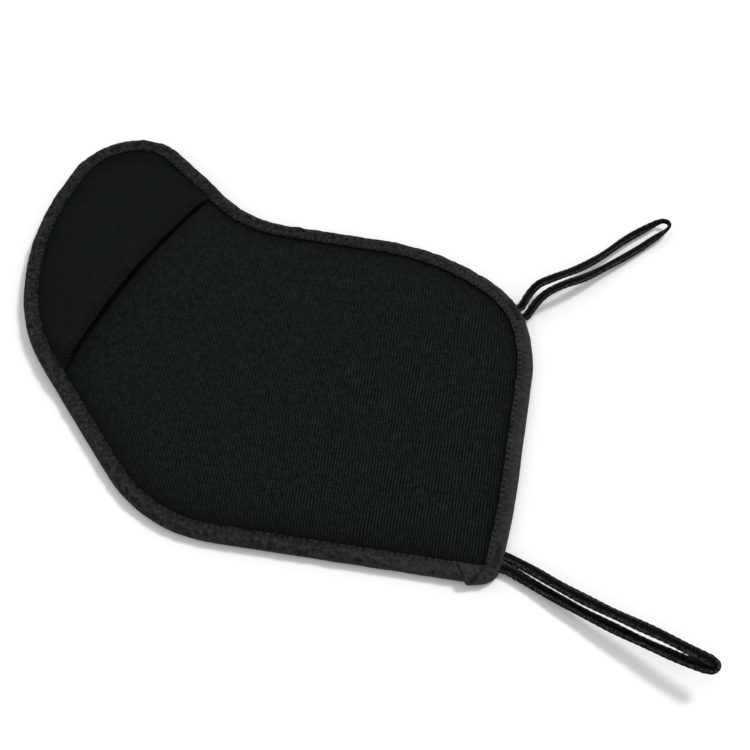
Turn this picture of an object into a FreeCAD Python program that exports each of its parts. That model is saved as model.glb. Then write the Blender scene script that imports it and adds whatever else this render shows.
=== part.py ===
import FreeCAD, Part
import math
import os
import Sketcher
from FreeCAD import Placement, Rotation, Vector

# A flat padded eye patch that is worn over spectacles. Millimetres and degrees.
# The panel lies in the XY plane with its bound underside on Z = 0. +X points at the corners that carry the
# elastic loops, and +Y at the tip of the lobe, whose upper side is a pocket that slips over a lens.

# Driving dimensions: alias, value, meaning.
SIZES = [
    ("tape", 0.4, "thickness of the binding tape"),
    ("tape_width", 4.2, "width of the binding seen from above"),
    ("back", 0.5, "thickness of the lining"),
    ("foam", 1.6, "thickness of the foam core"),
    ("front", 0.5, "thickness of the rib-knit facing"),
    ("slack", 0.2, "slack inside the pocket"),
    ("cover", 0.5, "thickness of the pocket cover"),
    ("overlock", 2.7, "width of the overlocked band along the pocket's free edge"),
    ("thread", 0.25, "height of thread on the cloth"),
    ("seam_near", 2.6, "outer side of the zigzag seam, from the outer edge"),
    ("seam_far", 3.8, "inner side of the zigzag seam, from the outer edge"),
    ("seam_sunk", 0.15, "depth of the underside thread in the tape"),
    ("cord", 1.9, "diameter of the elastic cord"),
    ("sewn", 1.4, "diameter of the cord's squeezed, sewn-in ends"),
    ("sewn_length", 7.0, "length of the sewn-in ends"),
    ("cord_level", 1.7, "height at which the cords leave the edge"),
    ("tack_length", 5.6, "length of a bar tack"),
    ("tack_width", 1.0, "width of a bar tack"),
    ("tack_inset", 1.6, "distance of a bar tack's middle from the edge"),
]

# The outline's corners before rounding: X, Y, rounding radius; anticlockwise from the lower right corner.
OUTLINE = [
    (64.6, -57.3, 4),
    (66.3, -37.5, 115),
    (66.6, 4.1, 38),
    (62.0, 20.3, 24),
    (39.7, 33.8, 62),
    (-11.5, 36.0, 30),
    (-40.3, 58.8, 15),
    (-58.7, 54.0, 20),
    (-68.3, 23.8, 63),
    (-63.3, -5.5, 45),
    (-33.2, -40.8, 150),
    (-19.8, -55.5, 38),
]

# The pocket's free edge is a shallow arc through three points, and it cuts the pocket off the outline.
POCKET_EDGE = [(-20.5, 46.5), (-39.3, 12.3), (-51.6, -24.6)]
POCKET_BOUNDS = [(-75.0, -24.6), (-75.0, 65.0), (-20.5, 65.0)]

# The end of the binding tape, folded over the lower right corner.
TAPE_END = [(54.6, -53.4), (58.1, -57.6), (63.0, -56.4), (64.0, -54.9), (61.2, -53.3)]

# Each elastic loop: the middle of its two exits on the edge, the outward direction there in degrees,
# half the distance between the exits, and the points of its route.
LOOPS = {
    "upper": (
        (61.6, 17.7),
        33.0,
        1.5,
        [
            (61.6, 19.6, 1.7),
            (63.6, 24.2, 4.5),
            (68.6, 26.5, 6.2),
            (74.7, 31.3, 4.2),
            (80.4, 37.3, 2.4),
            (86.2, 44.4, 1.4),
            (91.5, 48.7, 1.5),
            (95.0, 51.4, 2.2),
            (97.0, 50.6, 2.4),
            (97.1, 48.4, 2.4),
            (93.8, 45.6, 1.8),
            (88.6, 40.6, 1.3),
            (82.4, 34.8, 2.2),
            (76.7, 29.0, 4.0),
            (70.6, 24.5, 6.2),
            (65.5, 21.0, 4.5),
            (63.3, 17.1, 1.7),
        ],
    ),
    "lower": (
        (65.1, -51.0),
        -5.0,
        1.5,
        [
            (66.3, -49.8, 1.7),
            (71.8, -52.5, 2.9),
            (78.8, -56.4, 4.3),
            (86.7, -60.1, 5.5),
            (94.8, -63.4, 6.7),
            (103.0, -66.6, 8.0),
            (110.1, -69.3, 9.1),
            (114.3, -70.5, 9.4),
            (114.7, -72.5, 8.9),
            (113.0, -73.6, 8.2),
            (109.1, -71.8, 7.3),
            (101.2, -68.6, 5.7),
            (93.3, -65.3, 4.3),
            (85.4, -61.8, 3.0),
            (77.7, -58.1, 2.0),
            (71.5, -55.1, 1.6),
            (66.2, -52.6, 1.7),
        ],
    ),
}
ARC_SHARE = 0.45  # share of the shorter run that a route's rounded corner takes up

# Heights of the layers, as formulas of the sheet.
BACK_LEVEL = "Sizes.tape"
FOAM_LEVEL = f"{BACK_LEVEL} + Sizes.back"
FRONT_LEVEL = f"{FOAM_LEVEL} + Sizes.foam"
FRONT_TOP = f"{FRONT_LEVEL} + Sizes.front"
PANEL_TOP = f"{FRONT_TOP} + Sizes.tape"
COVER_LEVEL = f"{FRONT_TOP} + Sizes.slack"
COVER_TOP = f"{COVER_LEVEL} + Sizes.cover"
LOBE_TOP = f"{COVER_TOP} + Sizes.tape"

doc = FreeCAD.newDocument("eye_patch")


def fill_sheet():
    """The spreadsheet of driving dimensions: meaning, value and alias in each row."""
    sheet = doc.addObject("Spreadsheet::Sheet", "Sizes")
    rows = list(SIZES)
    for i, corner in enumerate(OUTLINE):
        for alias, value in zip(("corner_x", "corner_y", "corner_radius"), corner):
            rows.append((f"{alias}_{i}", value, f"outline corner {i}"))
    for row, (alias, value, meaning) in enumerate(rows, start=1):
        sheet.set(f"A{row}", meaning)
        sheet.set(f"B{row}", str(value))
        sheet.setAlias(f"B{row}", alias)
    doc.recompute()
    return sheet


def corner_arc(before, corner, after, radius):
    """The arc that rounds a polygon's corner, and whether it runs anticlockwise from the side before."""
    to_before = (before - corner).normalize()
    to_after = (after - corner).normalize()
    half_angle = to_before.getAngle(to_after) / 2
    centre = corner + (to_before + to_after).normalize() * (radius / math.sin(half_angle))
    touch = radius / math.tan(half_angle)
    ends = [corner + to_before * touch - centre, corner + to_after * touch - centre]
    anticlockwise = to_before.cross(to_after).z < 0
    first, last = ends if anticlockwise else reversed(ends)
    circle = Part.Circle(centre, Vector(0, 0, 1), radius)
    arc = Part.ArcOfCircle(circle, math.atan2(first.y, first.x), math.atan2(last.y, last.x))
    return arc, anticlockwise


def outline_sketch():
    """The panel's outline: a polygon with rounded corners, held by constraints that the sheet drives."""
    sketch = doc.addObject("Sketcher::SketchObject", "outline")
    corners = [Vector(x, y, 0) for x, y, _ in OUTLINE]
    count = len(corners)
    arcs = [
        corner_arc(corners[i - 1], corners[i], corners[(i + 1) % count], OUTLINE[i][2])
        for i in range(count)
    ]
    # An arc's ends 1 and 2 run anticlockwise, so the side before meets end 2 where the outline is hollow.
    joints = [((1, 2) if anticlockwise else (2, 1)) for _, anticlockwise in arcs]
    points = [
        [arc.StartPoint, arc.EndPoint] if anticlockwise else [arc.EndPoint, arc.StartPoint]
        for arc, anticlockwise in arcs
    ]
    for i in range(count):
        sketch.addGeometry(arcs[i][0], False)
    for i in range(count):
        sketch.addGeometry(Part.LineSegment(points[i][1], points[(i + 1) % count][0]), False)
    for corner in corners:
        sketch.addGeometry(Part.Point(corner), True)
    for i in range(count):
        arc, side, next_arc, point = i, count + i, (i + 1) % count, 2 * count + i
        side_before = count + (i - 1) % count
        sketch.addConstraint(Sketcher.Constraint("Tangent", arc, joints[i][1], side, 1))
        sketch.addConstraint(Sketcher.Constraint("Tangent", side, 2, next_arc, joints[next_arc][0]))
        sketch.addConstraint(Sketcher.Constraint("PointOnObject", point, 1, side))
        sketch.addConstraint(Sketcher.Constraint("PointOnObject", point, 1, side_before))
        drive(sketch, Sketcher.Constraint("DistanceX", -1, 1, point, 1, OUTLINE[i][0]), f"corner_x_{i}")
        drive(sketch, Sketcher.Constraint("DistanceY", -1, 1, point, 1, OUTLINE[i][1]), f"corner_y_{i}")
        drive(sketch, Sketcher.Constraint("Radius", arc, OUTLINE[i][2]), f"corner_radius_{i}")
    return sketch


def drive(sketch, constraint, alias):
    """Adds a dimension to a sketch and binds it to the sheet."""
    index = sketch.addConstraint(constraint)
    sketch.setExpression(f"Constraints[{index}]", f"Sizes.{alias}")


def pocket_sketch():
    """The area on the lobe's side of the pocket's free edge."""
    sketch = doc.addObject("Sketcher::SketchObject", "pocket_area")
    start, middle, end = (Vector(x, y, 0) for x, y in POCKET_EDGE)
    sketch.addGeometry(Part.Arc(start, middle, end), False)
    close_polygon(sketch, [end] + [Vector(x, y, 0) for x, y in POCKET_BOUNDS] + [start])
    return sketch


def close_polygon(sketch, points):
    """Straight sides from point to point."""
    for start, end in zip(points, points[1:]):
        sketch.addGeometry(Part.LineSegment(start, end), False)


def make(kind, name, **links):
    """A document object with its links set."""
    made = doc.addObject(kind, name)
    for link, target in links.items():
        setattr(made, link, target)
    return made


def inset(name, profile, distance):
    """The profile moved inwards by a formula of the sheet."""
    made = make("Part::Offset2D", name, Source=profile)
    made.setExpression("Value", f"-({distance})")
    return made


def slab(name, profile, bottom, top):
    """The profile as a solid between two heights, which are formulas of the sheet."""
    made = make("Part::Extrusion", name, Base=profile, DirMode="Custom", Dir=Vector(0, 0, 1), Solid=True)
    made.setExpression("LengthFwd", f"{top} - ({bottom})")
    made.setExpression("Placement.Base.z", bottom)
    return made


def fuse(name, *shapes):
    return make("Part::MultiFuse", name, Shapes=list(shapes))


def common(name, *shapes):
    return make("Part::MultiCommon", name, Shapes=list(shapes))


def cut(name, base, tool):
    return make("Part::Cut", name, Base=base, Tool=tool)


def two_levels(name, profile, bottom, panel_top, lobe_top):
    """A slab that stands higher over the pocket than over the rest of the panel."""
    low = slab(f"{name}_panel", profile, bottom, panel_top)
    high = slab(f"{name}_lobe", profile, bottom, lobe_top)
    area = slab(f"{name}_area", pocket_area, bottom, lobe_top)
    return fuse(name, low, common(f"{name}_lobe_part", high, area))


def ring(name, near, far, bottom, top):
    """A closed strip between two insets of the outline."""
    return cut(name, slab(f"{name}_near", near, bottom, top), slab(f"{name}_far", far, bottom, top))


def body_pad(name, points, bottom, height):
    """A PartDesign body: a pad of a polygon, its sketch on the body's own XY plane."""
    body = doc.addObject("PartDesign::Body", name)
    plane = next(f for f in body.Origin.OriginFeatures if f.Role == "XY_Plane")
    sketch = body.newObject("Sketcher::SketchObject", f"{name}_sketch")
    sketch.AttachmentSupport = [(plane, "")]
    sketch.MapMode = "FlatFace"
    close_polygon(sketch, points + points[:1])
    pad = body.newObject("PartDesign::Pad", f"{name}_pad")
    pad.Profile = sketch
    pad.setExpression("Length", height)
    body.setExpression("Placement.Base.z", bottom)
    return body


def outward(angle):
    """Unit vectors out of the edge and along it, for an outward direction in degrees."""
    turn = Rotation(Vector(0, 0, 1), angle)
    return turn.multVec(Vector(1, 0, 0)), turn.multVec(Vector(0, 1, 0))


def sewn_ends(side):
    """The two ends of a cord inside the edge: round pegs, flush with the binding's outer face."""
    (x, y), angle, half_gap, _ = LOOPS[side]
    out, along = outward(angle)
    pegs = []
    for number, offset in enumerate((half_gap, -half_gap), start=1):
        peg = doc.addObject("Part::Cylinder", f"{side}_end_{number}")
        peg.setExpression("Radius", "Sizes.sewn / 2")
        peg.setExpression("Height", "Sizes.sewn_length")
        start = Vector(x, y, sheet.cord_level) + along * offset
        peg.Placement = Placement(start, Rotation(Vector(0, 0, 1), -out))
        pegs.append(peg)
    return make("Part::Compound", f"{side}_loop_ends", Links=pegs)


def bar_tack(side):
    """The dense row of thread across a cord's ends, on top of the binding."""
    (x, y), angle, _, _ = LOOPS[side]
    out, along = outward(angle)
    middle = Vector(x, y, 0) - out * sheet.tack_inset
    half_long, half_wide = along * (sheet.tack_length / 2), out * (sheet.tack_width / 2)
    corners = [
        middle + half_long + half_wide,
        middle - half_long + half_wide,
        middle - half_long - half_wide,
        middle + half_long - half_wide,
    ]
    return body_pad(f"{side}_loop_tack", corners, PANEL_TOP, "Sizes.thread")


def route_wire(points):
    """Straight runs joined by tangent arcs through a route, and the arcs' radii."""
    edges, radii = [], []
    last = points[0]
    for before, corner, after in zip(points, points[1:], points[2:]):
        back, on = before - corner, after - corner
        touch = ARC_SHARE * min(back.Length, on.Length)
        half_angle = back.getAngle(on) / 2
        radius = touch * math.tan(half_angle)
        back.normalize()
        on.normalize()
        to_middle = radius / math.sin(half_angle) - radius
        start, end = corner + back * touch, corner + on * touch
        middle = corner + (back + on).normalize() * to_middle
        edges += [Part.LineSegment(last, start).toShape(), Part.Arc(start, middle, end).toShape()]
        radii.append(radius)
        last = end
    edges.append(Part.LineSegment(last, points[-1]).toShape())
    return Part.Wire(edges), radii


def cord_loop(side):
    """One elastic loop: a round cord along its route, with ball ends about which it bends."""
    points = [Vector(*point) for point in LOOPS[side][3]]
    wire, radii = route_wire(points)
    radius = sheet.cord / 2
    section = Part.Wire(Part.makeCircle(radius, points[0], points[1] - points[0]))
    tube = wire.makePipeShell([section], True, False)
    expected = math.pi * radius**2 * wire.Length
    print(f"{side} loop: {wire.Length:.1f} mm, tube volume {tube.Volume:.1f} against {expected:.1f}")
    print(f"{side} loop radii:", [round(r, 1) for r in radii])
    made = doc.addObject("Part::Feature", f"{side}_loop")
    balls = [Part.makeSphere(radius, end) for end in (points[0], points[-1])]
    made.Shape = tube.fuse(balls).removeSplitter()
    made.Placement = Placement()
    return made


sheet = fill_sheet()
outline = outline_sketch()
pocket_area = pocket_sketch()
doc.recompute()

stack_edge = inset("stack_edge", outline, "Sizes.tape")
window_edge = inset("window_edge", outline, "Sizes.tape_width")
seam_near = inset("seam_near_line", outline, "Sizes.seam_near")
seam_far = inset("seam_far_line", outline, "Sizes.seam_far")
overlock_edge = inset("overlock_edge", pocket_area, "Sizes.overlock")

upper_ends = sewn_ends("upper")
lower_ends = sewn_ends("lower")
ends_room = fuse("ends_room", *upper_ends.Links, *lower_ends.Links)

back_fabric = slab("back_fabric", stack_edge, BACK_LEVEL, FOAM_LEVEL)
foam_core = cut("foam_core", slab("foam_slab", stack_edge, FOAM_LEVEL, FRONT_LEVEL), ends_room)
front_fabric = slab("front_fabric", stack_edge, FRONT_LEVEL, FRONT_TOP)
pocket_cover = common(
    "pocket_cover",
    slab("cover_slab", stack_edge, COVER_LEVEL, COVER_TOP),
    slab("cover_area", pocket_area, COVER_LEVEL, COVER_TOP),
)

OVERLOCK_TOP = f"{COVER_TOP} + Sizes.thread"
pocket_edge_stitching = common(
    "pocket_edge_stitching",
    ring("overlock_strip", pocket_area, overlock_edge, COVER_TOP, OVERLOCK_TOP),
    slab("overlock_reach", window_edge, COVER_TOP, OVERLOCK_TOP),
)

binding_bobbin_thread = ring("binding_bobbin_thread", seam_near, seam_far, "0", "Sizes.seam_sunk")
binding_blank = fuse(
    "binding_blank",
    two_levels("tape_outside", outline, "0", PANEL_TOP, LOBE_TOP),
    body_pad("tape_end", [Vector(x, y, 0) for x, y in TAPE_END], "0", PANEL_TOP),
)
binding_hollow = fuse(
    "binding_hollow",
    two_levels("tape_inside", stack_edge, BACK_LEVEL, FRONT_TOP, COVER_TOP),
    slab("tape_window", window_edge, "-Sizes.tape", f"{LOBE_TOP} + Sizes.tape"),
    ends_room,
    binding_bobbin_thread,
)
edge_binding = cut("edge_binding", binding_blank, binding_hollow)

needle_panel = cut(
    "needle_panel",
    ring("needle_ring", seam_near, seam_far, PANEL_TOP, f"{PANEL_TOP} + Sizes.thread"),
    slab("needle_lobe_area", pocket_area, PANEL_TOP, LOBE_TOP),
)
needle_lobe = common(
    "needle_lobe",
    ring("needle_lobe_ring", seam_near, seam_far, LOBE_TOP, f"{LOBE_TOP} + Sizes.thread"),
    slab("needle_lobe_reach", pocket_area, LOBE_TOP, f"{LOBE_TOP} + Sizes.thread"),
)
binding_needle_thread = make("Part::Compound", "binding_needle_thread", Links=[needle_panel, needle_lobe])

SUB_PARTS = [
    front_fabric,
    foam_core,
    back_fabric,
    pocket_cover,
    pocket_edge_stitching,
    edge_binding,
    binding_needle_thread,
    binding_bobbin_thread,
    upper_ends,
    lower_ends,
    bar_tack("upper"),
    bar_tack("lower"),
    cord_loop("upper"),
    cord_loop("lower"),
]

doc.recompute()
for item in doc.Objects:
    if "Invalid" in item.State or "Error" in item.State:
        raise RuntimeError(f"{item.Name} failed: {item.State}")
os.makedirs("parts", exist_ok=True)
for item in SUB_PARTS:
    if item.Shape.isNull() or not item.Shape.isValid():
        raise RuntimeError(f"{item.Label} has no valid shape")
for item in SUB_PARTS:
    item.Shape.exportStep(f"parts/{item.Label}.step")
    box = item.Shape.BoundBox
    print(
        f"{item.Label}: {len(item.Shape.Solids)} solids, {item.Shape.Volume:.1f} mm3,"
        f" X {box.XMin:.2f}..{box.XMax:.2f},"
        f" Y {box.YMin:.2f}..{box.YMax:.2f},"
        f" Z {box.ZMin:.2f}..{box.ZMax:.2f}"
    )
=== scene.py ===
import math

import bpy
import numpy as np
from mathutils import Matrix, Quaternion, Vector
from mathutils.geometry import delaunay_2d_cdt


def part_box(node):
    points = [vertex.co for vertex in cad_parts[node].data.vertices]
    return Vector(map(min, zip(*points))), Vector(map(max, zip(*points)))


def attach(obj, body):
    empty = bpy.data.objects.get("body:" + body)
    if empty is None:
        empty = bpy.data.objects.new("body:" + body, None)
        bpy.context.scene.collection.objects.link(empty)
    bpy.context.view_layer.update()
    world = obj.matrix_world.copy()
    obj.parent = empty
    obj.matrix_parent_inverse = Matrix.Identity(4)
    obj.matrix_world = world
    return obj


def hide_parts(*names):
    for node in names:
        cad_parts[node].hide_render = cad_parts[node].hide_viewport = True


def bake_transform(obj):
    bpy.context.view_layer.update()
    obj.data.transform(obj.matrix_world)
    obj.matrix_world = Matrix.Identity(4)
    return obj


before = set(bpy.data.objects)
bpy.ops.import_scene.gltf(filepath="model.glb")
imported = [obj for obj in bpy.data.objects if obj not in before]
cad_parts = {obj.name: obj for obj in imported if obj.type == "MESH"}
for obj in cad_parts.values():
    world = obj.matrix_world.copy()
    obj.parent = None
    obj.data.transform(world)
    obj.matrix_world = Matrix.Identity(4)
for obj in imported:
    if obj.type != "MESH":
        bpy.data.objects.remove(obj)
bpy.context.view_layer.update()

# A flat padded eye patch: knit over foam with a bound edge, a pocket on its lobe and two elastic loops.
# Everything is in metres in the CAD frame: the panel lies in the XY plane, its bound underside on Z = 0.
MM = 0.001
scene = bpy.context.scene
scene.view_settings.view_transform = "Standard"

# The camera.
CAMERA_AT = (0.06826, -0.21360, 0.36903)
CAMERA_AIM = (0.02760, -0.00446, 0.0)
CAMERA_ROLL = 2.504
CAMERA_LENS = 81.83

# The elastic loops. A route is the control points of a cord's centreline. They are the CAD source's, but
# three of the upper loop's and five of the lower's are moved by up to 1.1 mm, round the fold at the tip.
# fold_lean is how far the band turns over at its tip, in radians, and tip_squeeze the share it narrows by.
FLATNESS = 0.53  # the elastic's thickness over its width
SEWN_IN = 7.0 * MM
SEWN_WIDTH = 1.6 * MM
BRAID_TURN = 3.2 * MM  # length in which a yarn goes once round the cord
BRAID_YARNS = 8
TWISTS = ((0.16, 9.0 * MM), (0.12, 4.1 * MM))  # waves in the band's turn: size and length per radian
TIP_REACH = 5.0 * MM  # how far along the cord the fold at a tip is felt
LOOPS = {
    "upper": {
        "edge": (0.0616, 0.0177),
        "outward": 33.0,
        "half_gap": 0.0015,
        "length": 0.0997,
        "fold_lean": 1.25,
        "width": 2.08 * MM,
        "tip_squeeze": 0.35,
        "route": [
            (0.0616, 0.0196, 0.0017), (0.0636, 0.0242, 0.0045), (0.0686, 0.0265, 0.0062),
            (0.0747, 0.0313, 0.0042), (0.0804, 0.0373, 0.0024), (0.0862, 0.0444, 0.0014),
            (0.0915, 0.0487, 0.0015), (0.0949, 0.0510, 0.0022), (0.0969, 0.0502, 0.0024),
            (0.0969, 0.0485, 0.0024), (0.0938, 0.0456, 0.0018), (0.0886, 0.0406, 0.0013),
            (0.0824, 0.0348, 0.0022), (0.0767, 0.0290, 0.0040), (0.0706, 0.0245, 0.0062),
            (0.0655, 0.0210, 0.0045), (0.0633, 0.0171, 0.0017),
        ],
    },
    "lower": {
        "edge": (0.0651, -0.0510),
        "outward": -5.0,
        "half_gap": 0.0015,
        "length": 0.1085,
        "fold_lean": 0.5,
        "width": 2.55 * MM,
        "tip_squeeze": 0.0,
        "route": [
            (0.0663, -0.0498, 0.0017), (0.0718, -0.0525, 0.0029), (0.0788, -0.0564, 0.0043),
            (0.0867, -0.0601, 0.0055), (0.0948, -0.0634, 0.0067), (0.1030, -0.0666, 0.0080),
            (0.1101, -0.0700, 0.0091), (0.1138, -0.0714, 0.0094), (0.1148, -0.0724, 0.0089),
            (0.1136, -0.0732, 0.0082), (0.1091, -0.0717, 0.0073), (0.1012, -0.0686, 0.0057),
            (0.0933, -0.0653, 0.0043), (0.0854, -0.0618, 0.0030), (0.0777, -0.0581, 0.0020),
            (0.0715, -0.0551, 0.0016), (0.0662, -0.0526, 0.0017),
        ],
    },
}

# The bound edge, measured inwards from the panel's outer edge.
TAPE = 0.4 * MM
TAPE_WIDTH = 3.8 * MM
SEAM_NEAR = 2.25 * MM
SEAM_FAR = 3.40 * MM
STITCH = 1.5 * MM
THREAD = 0.13 * MM


def add_object(name, data):
    """A new object in the scene."""
    made = bpy.data.objects.new(name, data)
    scene.collection.objects.link(made)
    return made


def add_camera():
    """The camera, with a small roll about its own axis."""
    data = bpy.data.cameras.new("camera")
    data.lens = CAMERA_LENS
    data.clip_start = 0.01
    camera = add_object("camera", data)
    camera.location = CAMERA_AT
    aim = (Vector(CAMERA_AIM) - Vector(CAMERA_AT)).to_track_quat("-Z", "Y")
    camera.rotation_mode = "QUATERNION"
    camera.rotation_quaternion = aim @ Quaternion((0, 0, 1), -math.radians(CAMERA_ROLL))
    scene.camera = camera


# ---- meshes


def new_piece(name, made, material):
    """A smooth-shaded object made of points, faces and the named numbers of each point."""
    vertices, faces, attributes = made
    mesh = bpy.data.meshes.new(name)
    mesh.from_pydata(np.asarray(vertices, float).tolist(), [], [list(map(int, face)) for face in faces])
    mesh.shade_smooth()
    for key, values in attributes.items():
        mesh.attributes.new(key, "FLOAT", "POINT").data.foreach_set("value", np.asarray(values, np.float32))
    mesh.materials.append(material)
    mesh.update()
    piece = add_object(name, mesh)
    return piece


def add_panel_piece(name, made, material, node):
    """A piece that stands for a CAD node and moves with the padded panel."""
    piece = new_piece(name, made, material)
    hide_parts(node)
    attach(piece, "patch")
    return piece


def unit(vectors):
    """Vectors scaled to length one."""
    return vectors / np.maximum(np.linalg.norm(vectors, axis=-1, keepdims=True), 1e-12)


def lengths_along(points):
    """The distance along a line at each of its points."""
    return np.concatenate([[0], np.cumsum(np.linalg.norm(np.diff(points, axis=0), axis=1))])


def ring_faces(rings, sides, first=0, closed=False):
    """Quads between successive rings of points; the last ring joins the first if closed."""
    faces = []
    for i in range(rings if closed else rings - 1):
        here, there = first + i * sides, first + (i + 1) % rings * sides
        for j in range(sides):
            k = (j + 1) % sides
            faces.append((here + j, here + k, there + k, there + j))
    return faces


THREAD_SIDES = 6
THREAD_END = 0.6  # a thread's ends have this share of its thickness


def threads(paths, radius):
    """Round tubes along paths of equal count, closed at their ends: points, faces, and length and angle."""
    sides = THREAD_SIDES
    paths = np.asarray(paths, float)
    strands, count, _ = paths.shape
    tangents = unit(np.gradient(paths, axis=1))
    lengths = np.linalg.norm(np.diff(paths, axis=1), axis=2)
    along = np.concatenate([np.zeros((strands, 1)), np.cumsum(lengths, axis=1)], axis=1)
    turns = np.arange(sides) / sides
    angles = 2 * math.pi * turns
    cosines, sines = np.cos(angles)[:, None], np.sin(angles)[:, None]
    normal = unit(np.cross(tangents[:, 0], (0.31, 0.17, 0.93)))
    points = np.empty((strands, count, sides, 3))
    for i in range(count):
        normal = unit(normal - (normal * tangents[:, i]).sum(1, keepdims=True) * tangents[:, i])
        across = np.cross(tangents[:, i], normal)
        wide = radius * (THREAD_END if i in (0, count - 1) else 1.0)
        spokes = cosines * normal[:, None] + sines * across[:, None]
        points[:, i] = paths[:, i, None] + wide * spokes
    faces = []
    for strand in range(strands):
        first = strand * count * sides
        faces += ring_faces(count, sides, first)
        faces.append(tuple(first + j for j in reversed(range(sides))))
        faces.append(tuple(first + (count - 1) * sides + j for j in range(sides)))
    length = np.repeat(along[:, :, None], sides, axis=2)
    angle = np.broadcast_to(turns, (strands, count, sides))
    return points.reshape(-1, 3), faces, {"along": length.ravel() / MM, "around": angle.ravel()}


def joined(parts):
    """Several (points, faces, attributes) as one."""
    points, faces, attributes, first = [], [], {}, 0
    for part_points, part_faces, part_attributes in parts:
        points.append(part_points)
        faces += [tuple(first + i for i in face) for face in part_faces]
        for key, values in part_attributes.items():
            attributes.setdefault(key, []).append(values)
        first += len(part_points)
    merged = {key: np.concatenate(values) for key, values in attributes.items()}
    return np.concatenate(points), faces, merged


def wander(turn, waves, seed):
    """A smooth random number from about -1 to 1 round a closed line, with that many waves in a turn."""
    rng = np.random.default_rng(seed)
    total = np.zeros_like(turn)
    counts = np.unique(np.linspace(0.5 * waves, 1.6 * waves, 9).astype(int))
    for count in counts:
        total += rng.uniform(0.5, 1) * np.cos(2 * math.pi * (count * turn + rng.uniform()))
    return total / math.sqrt(len(counts))


def unevenness(turn, layers):
    """Several smooth random waves round a closed line: each one's size, waves in a turn and seed."""
    return sum(size * wander(turn, waves, seed) for size, waves, seed in layers)


FIELD_WAVES = 14


def field(x, y, size, seed):
    """A smooth random number from about -1 to 1 over a surface; size is the length of its waves."""
    rng = np.random.default_rng(seed)
    total = np.zeros_like(x)
    for _ in range(FIELD_WAVES):
        angle, wave = rng.uniform(0, 2 * math.pi), size * rng.uniform(0.7, 1.5)
        total += np.cos(2 * math.pi * ((x * math.cos(angle) + y * math.sin(angle)) / wave + rng.uniform()))
    return total / math.sqrt(FIELD_WAVES)


def smoothstep(low, high, value):
    """0 below low, 1 above high and smooth between them."""
    share = np.clip((value - low) / (high - low), 0, 1)
    return share * share * (3 - 2 * share)


def bell(value, width):
    """1 at zero, falling off to both sides over about that width."""
    return np.exp(-((value / width) ** 2))


def fading(distance, reach):
    """1 up to zero, dying away beyond it over about that reach."""
    return np.exp(-np.maximum(distance, 0) / reach)


# ---- materials


class Value:
    """A shader node's output. Arithmetic with it makes another node."""

    def __init__(self, shader, socket):
        self.maths, self.socket = shader.maths, socket

    def __add__(self, other):
        return self.maths("ADD", self, other)

    def __sub__(self, other):
        return self.maths("SUBTRACT", self, other)

    def __rsub__(self, other):
        return self.maths("SUBTRACT", other, self)

    def __mul__(self, other):
        return self.maths("MULTIPLY", self, other)

    def __truediv__(self, other):
        return self.maths("DIVIDE", self, other)


class Shader:
    """A node material under construction. Inputs may be numbers or values from other nodes.

    place is the point's place in the object, in millimetres, and x and y are two of its parts.
    """

    def __init__(self, name):
        self.material = bpy.data.materials.new(name)
        self.material.use_nodes = True
        self.tree = self.material.node_tree
        self.principled = self.tree.nodes["Principled BSDF"]
        place = self.add("ShaderNodeTexCoord", {}, 3)
        self.place = self.add("ShaderNodeVectorMath", {0: place, 3: 1 / MM}, operation="SCALE")
        self.x, self.y = (self.add("ShaderNodeSeparateXYZ", {0: self.place}, axis) for axis in (0, 1))

    def put(self, socket, value):
        if isinstance(value, Value):
            self.tree.links.new(value.socket, socket)
        else:
            socket.default_value = value

    def add(self, kind, inputs, output=0, **settings):
        node = self.tree.nodes.new(kind)
        for key, value in settings.items():
            setattr(node, key, value)
        for key, value in inputs.items():
            self.put(node.inputs[key], value)
        return Value(self, node.outputs[output])

    def maths(self, operation, *values):
        return self.add("ShaderNodeMath", dict(enumerate(values)), operation=operation)

    def wave(self, value):
        """A cosine of a number of turns, from 0 to 1."""
        return self.maths("COSINE", value * (2 * math.pi)) * 0.5 + 0.5

    def noise(self, scale, detail):
        """Noise from 0 to 1; scale is in spots per millimetre."""
        return self.add("ShaderNodeTexNoise", {"Vector": self.place, "Scale": scale, "Detail": detail})

    def speckle(self, scale, detail):
        """Noise about zero."""
        return self.noise(scale, detail) - 0.5

    def between(self, factor, low, high):
        """A colour between two colours."""
        mix = self.tree.nodes.new("ShaderNodeMix")
        mix.data_type = "RGBA"
        self.put(mix.inputs[0], factor)
        self.put(mix.inputs[6], (*low, 1))
        self.put(mix.inputs[7], (*high, 1))
        return Value(self, mix.outputs[2])

    def number(self, name):
        """A number stored at each point of the mesh."""
        return self.add("ShaderNodeAttribute", {}, 2, attribute_name=name)

    def finish(self, colour, height, relief, roughness=0.9, sheen=0.02, specular=0.06):
        """Colour, and a height from 0 to 1 as relief of that depth."""
        surface = {"Base Color": colour, "Roughness": roughness, "Specular IOR Level": specular}
        surface.update({"Sheen Weight": sheen, "Sheen Roughness": 0.5})
        bump = {"Strength": 1.0, "Distance": relief, "Height": height}
        surface["Normal"] = self.add("ShaderNodeBump", bump)
        for key, value in surface.items():
            self.put(self.principled.inputs[key], value)
        return self.material


CRISP_MIDDLE = 0.58  # how clear the knit's lines are at the origin, where the whole is 1
CRISP_RISE = 0.0042  # and how much clearer they get with each millimetre towards +X and -Y
CRISP_LEAST = 0.35


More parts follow.
